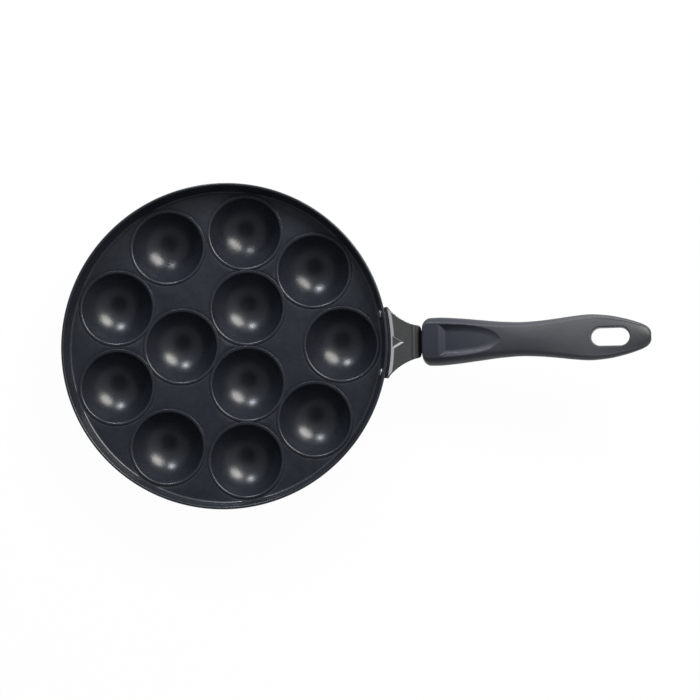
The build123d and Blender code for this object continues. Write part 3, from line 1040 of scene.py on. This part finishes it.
def makeGrip():
    s = gripSizes
    length = gripStations[-1, 0]
    scale = 20.0  # working plane: reach against share of the half girth times this
    rows = np.concatenate([
        s["frontRound"] * (1 - np.cos(np.linspace(0, math.pi / 2, 7))),
        np.arange(1.7, 62, 0.5),
        np.arange(62.6, 126, 0.9),
        np.arange(126.5, 163.7, 0.75),
        length - 7 * (1 - np.sin(np.linspace(0.05, math.pi / 2, 16))),
    ])
    rows = np.unique(np.round(rows, 4))
    shares = np.linspace(-1, 1, 101)
    outer = [(r, -1.0) for r in rows] + [(length, t) for t in shares[1:-1]]
    outer += [(r, 1.0) for r in rows[::-1]] + [(0.0, t) for t in shares[1:-1][::-1]]
    outer = np.array(outer) * (1, scale)
    grid = np.array([(r, t) for r in rows[1:-1] for t in shares[1:-1]])
    width = gripTable(grid[:, 0])[0]
    gap = gapToSlot(grid[:, 0], width / 2 * np.sin(grid[:, 1] * math.pi / 2))
    grid = grid[gap > s["slotRound"] + 0.3] * (1, scale)
    rings = []
    straight = s["slotHalfLength"] - s["slotHalfWidth"]
    for angle in np.linspace(0, math.pi / 2, 7):
        radius = s["slotHalfWidth"] + s["slotRound"] * (1 - math.cos(angle))
        ends = [arcPath((s["slotReach"] + straight, 0), radius, -math.pi / 2, math.pi / 2, 28)]
        ends += [arcPath((s["slotReach"] - straight, 0), radius, math.pi / 2, 3 * math.pi / 2, 28)]
        sides = np.linspace(-straight, straight, 22)[1:-1] + s["slotReach"]
        low = np.column_stack((sides, np.full(len(sides), -radius)))
        high = np.column_stack((sides[::-1], np.full(len(sides), radius)))
        ring = np.vstack([ends[0], high, ends[1], low])
        half = gripTable(ring[:, 0])[0] / 2
        rings.append(np.column_stack((ring[:, 0], np.arcsin(ring[:, 1] / half) / (math.pi / 2) * scale)))
    flat, triangles, given = fillPlane([outer] + rings, grid, holes=[rings[0]])
    top, bottom = gripSkins(flat[:, 0], flat[:, 1] / scale)
    onSide = np.abs(np.abs(flat[:, 1]) - scale) < 1e-6
    bottom[onSide] = top[onSide]
    slotRim = [given[len(outer) + i] for i in range(len(rings[0]))]
    vertices, faces = twoSided(top, bottom, triangles, [(slotRim, 8, False)])
    count = len(flat)
    fromFront = [given[i] for i in range(len(outer))]
    atEnd = fromFront[len(rows) - 1:len(rows) + len(shares) - 1]
    atFront = [fromFront[0]] + fromFront[:-len(shares) + 1:-1] + [fromFront[2 * len(rows) + len(shares) - 3]]
    for side, flip in ((atEnd, False), (atFront, True)):
        cap = side + [i + count for i in side[1:-1][::-1]]
        faces.append(tuple(cap[::-1] if flip else cap))
    piece = makeObject("handleGrip", placeGrip(vertices) * mm, faces)
    closeSeams(piece)
    addPocket(piece)
    piece.data.materials.clear()
    piece.data.materials.append(phenolic)
    shadeSmooth(piece, 42)
    weightNormals(piece)
    return piece


def closeSeams(piece):
    work = bmesh.new()
    work.from_mesh(piece.data)
    bmesh.ops.remove_doubles(work, verts=work.verts, dist=1e-6)
    bmesh.ops.dissolve_degenerate(work, edges=work.edges, dist=1e-7)
    bmesh.ops.recalc_face_normals(work, faces=work.faces)
    work.to_mesh(piece.data)
    work.free()


def ringOnBore(radius, level, around):
    angles = np.arange(around) * 2 * math.pi / around
    reach = gripSizes["boreReach"] + radius * np.cos(angles)
    return np.column_stack((reach, radius * np.sin(angles), np.full(around, level)))


def stackRings(name, rings):
    # Closes level rings of points, drawn in the grip's own directions, into a solid
    around = len(rings[0])
    last = (len(rings) - 1) * around
    faces = [tuple(range(around)), tuple(range(last, last + around))[::-1]]
    for first in range(0, last, around):
        for i in range(around):
            j = (i + 1) % around
            faces.append((first + i, first + around + i, first + around + j, first + j))
    piece = makeObject(name, placeGrip(np.vstack(rings)) * mm, faces)
    closeSeams(piece)
    return piece


def addPocket(piece):
    s = gripSizes
    back, front, half = s["pocketReach"], -3, s["pocketHalf"]
    corners = ((front, -half), (back, -half), (back, half), (front, half))
    box = [[(x, y, level) for x, y in corners] for level in s["pocketLevels"]]
    cutAway(piece, stackRings("cutter", box))
    radius, (top, seat) = s["boreRadius"], s["boreLevels"]
    steps = ((radius, top), (radius, seat), (radius + 0.6, seat - 0.45), (radius + 1.2, seat - 3))
    bore = [ringOnBore(size, level, s["stepsAround"]) for size, level in steps]
    cutAway(piece, stackRings("cutter", bore))


grip = makeGrip()
print("grip", len(grip.data.polygons), "faces")


# Rivets: one profile, turned and set at both holes

rivetSizes = {
    "headRadius": 3.2,
    "headHeight": 1.45,
    "headEdge": 0.25,
    "tailRadius": 3.0,
    "tailHeight": 1.25,
    "tailEdge": 0.3,
    "shankRadius": 2.0,
    "span": 44.5,
    "level": 28.2,
    "stepsAround": 48,
}


def rivetProfile():
    s = rivetSizes
    lean = math.atan(panSizes["wallLean"])
    through = panSizes["wallThickness"] * math.cos(lean) + bracketSizes["sheet"]
    dome = []
    for angle in np.linspace(0, math.pi / 2, 12):
        rise = s["headEdge"] + (s["headHeight"] - s["headEdge"]) * math.sin(angle)
        dome.append((s["headRadius"] * math.cos(angle), -rise))
    tail = []
    for angle in np.linspace(0, math.pi / 2, 10)[:-1]:
        rise = through + s["tailEdge"] + (s["tailHeight"] - s["tailEdge"]) * math.cos(angle) ** 0.7
        tail.append((s["tailRadius"] * math.sin(angle), rise))
    tail += [(s["tailRadius"], through + s["tailEdge"]), (s["tailRadius"] - 0.1, through)]
    shank = [(s["shankRadius"], through), (s["shankRadius"], 0), (s["headRadius"] - 0.1, 0)]
    return np.array(tail + shank + dome)[::-1]


def makeRivetTree():
    tree = bpy.data.node_groups.new("rivetTree", "GeometryNodeTree")
    addSocket(tree, "Profiles", "NodeSocketGeometry")
    addSocket(tree, "Steps around", "NodeSocketInt", 48)
    for name in ("Wall radius", "Level", "Turn", "Lean"):
        addSocket(tree, name, "NodeSocketFloat", 0.1)
    addSocket(tree, "Metal", "NodeSocketMaterial")
    addSocket(tree, "Rivets", "NodeSocketGeometry", direction="OUTPUT")
    given = addNode(tree, "NodeGroupInput").outputs
    shape = turnedPart(tree, given["Profiles"], 0, given["Steps around"])
    index = addNode(tree, "GeometryNodeInputIndex").outputs[0]
    side = calculate(tree, "SUBTRACT", calculate(tree, "MULTIPLY", index, 2), 1)
    angle = calculate(tree, "MULTIPLY", side, given["Turn"])
    place = placeRound(tree, given["Wall radius"], angle, given["Level"])
    points = addNode(tree, "GeometryNodePoints", {"Count": 2, "Position": place})
    outward = calculate(tree, "ADD", given["Lean"], math.pi / 2)
    rotation = addNode(tree, "ShaderNodeCombineXYZ", {"Y": outward, "Z": angle}).outputs[0]
    placed = addNode(
        tree, "GeometryNodeInstanceOnPoints",
        {"Points": points.outputs[0], "Instance": shape, "Rotation": rotation},
    )
    return endTree(tree, placed.outputs[0], given["Metal"], "Rivets")


def makeRivets():
    s = rivetSizes
    radius = innerWall(s["level"])
    piece = profileObject("handleRivets", [rivetProfile()])
    useTree(piece, makeRivetTree(), {
        "Steps around": s["stepsAround"],
        "Wall radius": radius * mm,
        "Level": s["level"] * mm,
        "Turn": math.asin(s["span"] / 2 / radius),
        "Lean": math.atan(panSizes["wallLean"]),
        "Metal": rivetMetal,
    })
    settle(piece)
    piece.data.materials.append(rivetCoating)  # the heads inside the pan are coated with it
    for face in piece.data.polygons:
        if face.center.xy.length < (radius + 0.3) * mm:
            face.material_index = 1
    shadeSmooth(piece, 40)
    return piece


rivets = makeRivets()
print("rivets", len(rivets.data.polygons), "faces")


# Screw from below, with a cross recess

screwSizes = {
    "headRadius": 4.25,
    "headHeight": 3.3,
    "headRound": 1.2,
    "shankRadius": 2.5,
    "shankLength": 8.2,
    "seat": 2.2,
    "crossLong": 2.7,
    "crossHalf": 0.55,
    "crossDepth": 1.7,
    "crossTaper": 0.55,
    "stepsAround": 64,
}


def makeScrew():
    s = screwSizes
    low, tip = -s["seat"] - s["headHeight"], -s["seat"] + s["shankLength"]
    profile = roundedPath([
        (0, tip, 0),
        (s["shankRadius"], tip, 0.4),
        (s["shankRadius"], -s["seat"], 0),
        (s["headRadius"], -s["seat"], 0.2),
        (s["headRadius"], low, s["headRound"]),
        (0, low, 0),
    ], 6)
    rings = [ringOnBore(radius, level, s["stepsAround"]) for radius, level in profile]
    piece = stackRings("handleScrew", rings)
    long, half = s["crossLong"], s["crossHalf"]
    outline = [
        (long, half), (half, half), (half, long), (-half, long), (-half, half), (-long, half),
        (-long, -half), (-half, -half), (-half, -long), (half, -long), (half, -half), (long, -half),
    ]
    reach, deepest = gripSizes["boreReach"], low + s["crossDepth"]
    rings = []
    for size, level in ((1.15, low - 1), (1.0, low), (s["crossTaper"], deepest)):
        rings.append([(reach + x * size, y * size, level) for x, y in outline])
    cutAway(piece, stackRings("cutter", rings))
    piece.data.materials.clear()
    piece.data.materials.append(screwMetal)
    shadeSmooth(piece, 35)
    return piece


screw = makeScrew()
print("screw", len(screw.data.polygons), "faces")

# The washer and the insert keep their own meshes
for nodeName, metal in (("lock_washer", screwMetal), ("threaded_insert", brass)):
    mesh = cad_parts[nodeName].data
    mesh.materials.clear()
    mesh.materials.append(metal)

for piece, nodes, slotName in (
    (panBody, ("pan_body",), "nonstick_aluminium"),
    (bracket, ("handle_bracket",), "bracket_steel"),
    (rivets, ("rivet_left", "rivet_right"), "rivet_aluminium"),
    (grip, ("handle_grip",), "grip_phenolic"),
    (screw, ("handle_screw",), "screw_steel"),
):
    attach(piece, "root")
    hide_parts(*nodes)


# Floor, light and camera

stageLook = {
    "floor": (0.86, 0.86, 0.86, 1),
    "floorLight": (0.88, 0.88, 0.88, 1),
    "floorHalf": 3.0,
    "whiteShare": 0.97,
    "overhead": 0.06,
    "overheadTilt": 15.0,
    "overheadEdge": (0.855, 0.915),
    "ring": 0.45,
    "horizon": 0.30,
    "horizonTop": 0.42,
    "skyColour": (0.91, 0.98, 1.04, 1),
    "brightSide": 62.0,
    "sideChange": 0.42,
    "lampTarget": (0.03, 0, 0),
    "lampDistance": 1.6,
    "warmLamp": {"azimuth": 50, "elevation": 37, "size": (1.15, 0.72), "power": 26.0},
    "warmLight": (1.0, 0.97, 0.92),
    "coolLamp": {"azimuth": 105, "elevation": 31, "size": (0.40, 0.40), "power": 10.5},
    "coolLight": (0.88, 0.94, 1.0),
    "lens": 86.776,
    "cameraPlace": (0.14402, -0.12783, 1.3079),
    "cameraTurn": {"X": 0.09575, "Y": 0.0375, "Z": -0.01505},
}


def makeFloor():
    material = bpy.data.materials.new("paleFloor")
    tree = emptyTree(material)
    place = addNode(tree, "ShaderNodeTexCoord").outputs["Object"]
    shader = addNode(tree, "ShaderNodeBsdfPrincipled", {"Roughness": 0.8})
    tone = fitRange(tree, grain(tree, place, 40, 3), 0.3, 0.7, 0, 1)
    colour = blendColours(tree, tone, stageLook["floor"], stageLook["floorLight"])
    tree.links.new(colour, shader.inputs["Base Color"])
    white = addNode(tree, "ShaderNodeEmission", {"Color": (1, 1, 1, 1), "Strength": 1.0})
    ray = addNode(tree, "ShaderNodeLightPath").outputs
    seen = calculate(tree, "MAXIMUM", ray["Is Camera Ray"], ray["Is Glossy Ray"])
    seen = calculate(tree, "MAXIMUM", seen, ray["Is Transmission Ray"])
    share = calculate(tree, "MULTIPLY", seen, stageLook["whiteShare"])
    mixed = addNode(tree, "ShaderNodeMixShader", {0: share, 1: shader.outputs[0], 2: white.outputs[0]})
    addNode(tree, "ShaderNodeOutputMaterial", {"Surface": mixed.outputs[0]})
    half = stageLook["floorHalf"]
    corners = [(-half, -half, 0), (half, -half, 0), (half, half, 0), (-half, half, 0)]
    floor = makeObject("floor", corners, [(0, 1, 2, 3)])
    floor.data.materials.append(material)


def makeWorld():
    look = stageLook
    world = bpy.data.worlds.new("studio")
    bpy.context.scene.world = world
    tree = emptyTree(world)
    direction = addNode(tree, "ShaderNodeTexCoord").outputs["Generated"]
    split = addNode(tree, "ShaderNodeSeparateXYZ", {0: direction}).outputs
    height = split["Z"]
    # The far side of the sky is brighter
    east = calculate(tree, "MULTIPLY", split["X"], math.cos(look["brightSide"] * degree))
    north = calculate(tree, "MULTIPLY", split["Y"], math.sin(look["brightSide"] * degree))
    side = calculate(tree, "MULTIPLY", calculate(tree, "ADD", east, north), look["sideChange"])
    side = calculate(tree, "ADD", side, 1.0)
    # The dark patch overhead lies a little towards the near side
    upwards = calculate(tree, "MULTIPLY", height, math.cos(look["overheadTilt"] * degree))
    nearwards = calculate(tree, "MULTIPLY", split["Y"], math.sin(look["overheadTilt"] * degree))
    middle = calculate(tree, "SUBTRACT", upwards, nearwards)
    overhead = fitRange(tree, middle, *look["overheadEdge"], look["ring"], look["overhead"])
    low = fitRange(tree, height, 0.0, look["horizonTop"], look["horizon"], look["ring"])
    level = calculate(tree, "MULTIPLY", calculate(tree, "MINIMUM", overhead, low), side)
    seen = addNode(tree, "ShaderNodeLightPath").outputs["Is Camera Ray"]
    strength = addNode(tree, "ShaderNodeMix", {0: seen, 2: level, 3: 1.0}, data_type="FLOAT").outputs[0]
    sky = addNode(tree, "ShaderNodeBackground", {"Color": look["skyColour"], "Strength": strength})
    addNode(tree, "ShaderNodeOutputWorld", {"Surface": sky.outputs[0]})


def makeLamp(name, colour, azimuth, elevation, size, power):
    lamp = bpy.data.lights.new(name, "AREA")
    lamp.shape = "ELLIPSE"
    lamp.size, lamp.size_y = size
    lamp.energy = power
    lamp.color = colour
    holder = bpy.data.objects.new(name, lamp)
    bpy.context.scene.collection.objects.link(holder)
    away = Vector((
        math.cos(elevation * degree) * math.cos(azimuth * degree),
        math.cos(elevation * degree) * math.sin(azimuth * degree),
        math.sin(elevation * degree),
    ))
    holder.location = Vector(stageLook["lampTarget"]) + away * stageLook["lampDistance"]
    holder.rotation_euler = away.to_track_quat("Z", "Y").to_euler()


def makeCamera():
    # The view is from almost straight above, a little towards the near side
    camera = bpy.data.cameras.new("camera")
    camera.sensor_width = 36
    camera.lens = stageLook["lens"]
    camera.clip_start = 0.01
    holder = bpy.data.objects.new("camera", camera)
    bpy.context.scene.collection.objects.link(holder)
    place = Matrix.Translation(stageLook["cameraPlace"])
    for axis, angle in stageLook["cameraTurn"].items():
        place = place @ Matrix.Rotation(angle, 4, axis)
    holder.matrix_world = place
    bpy.context.scene.camera = holder


makeFloor()
makeWorld()
makeLamp("warmLamp", stageLook["warmLight"], **stageLook["warmLamp"])
makeLamp("coolLamp", stageLook["coolLight"], **stageLook["coolLamp"])
makeCamera()
bpy.context.scene.view_settings.view_transform = "Standard"
print("stage set")
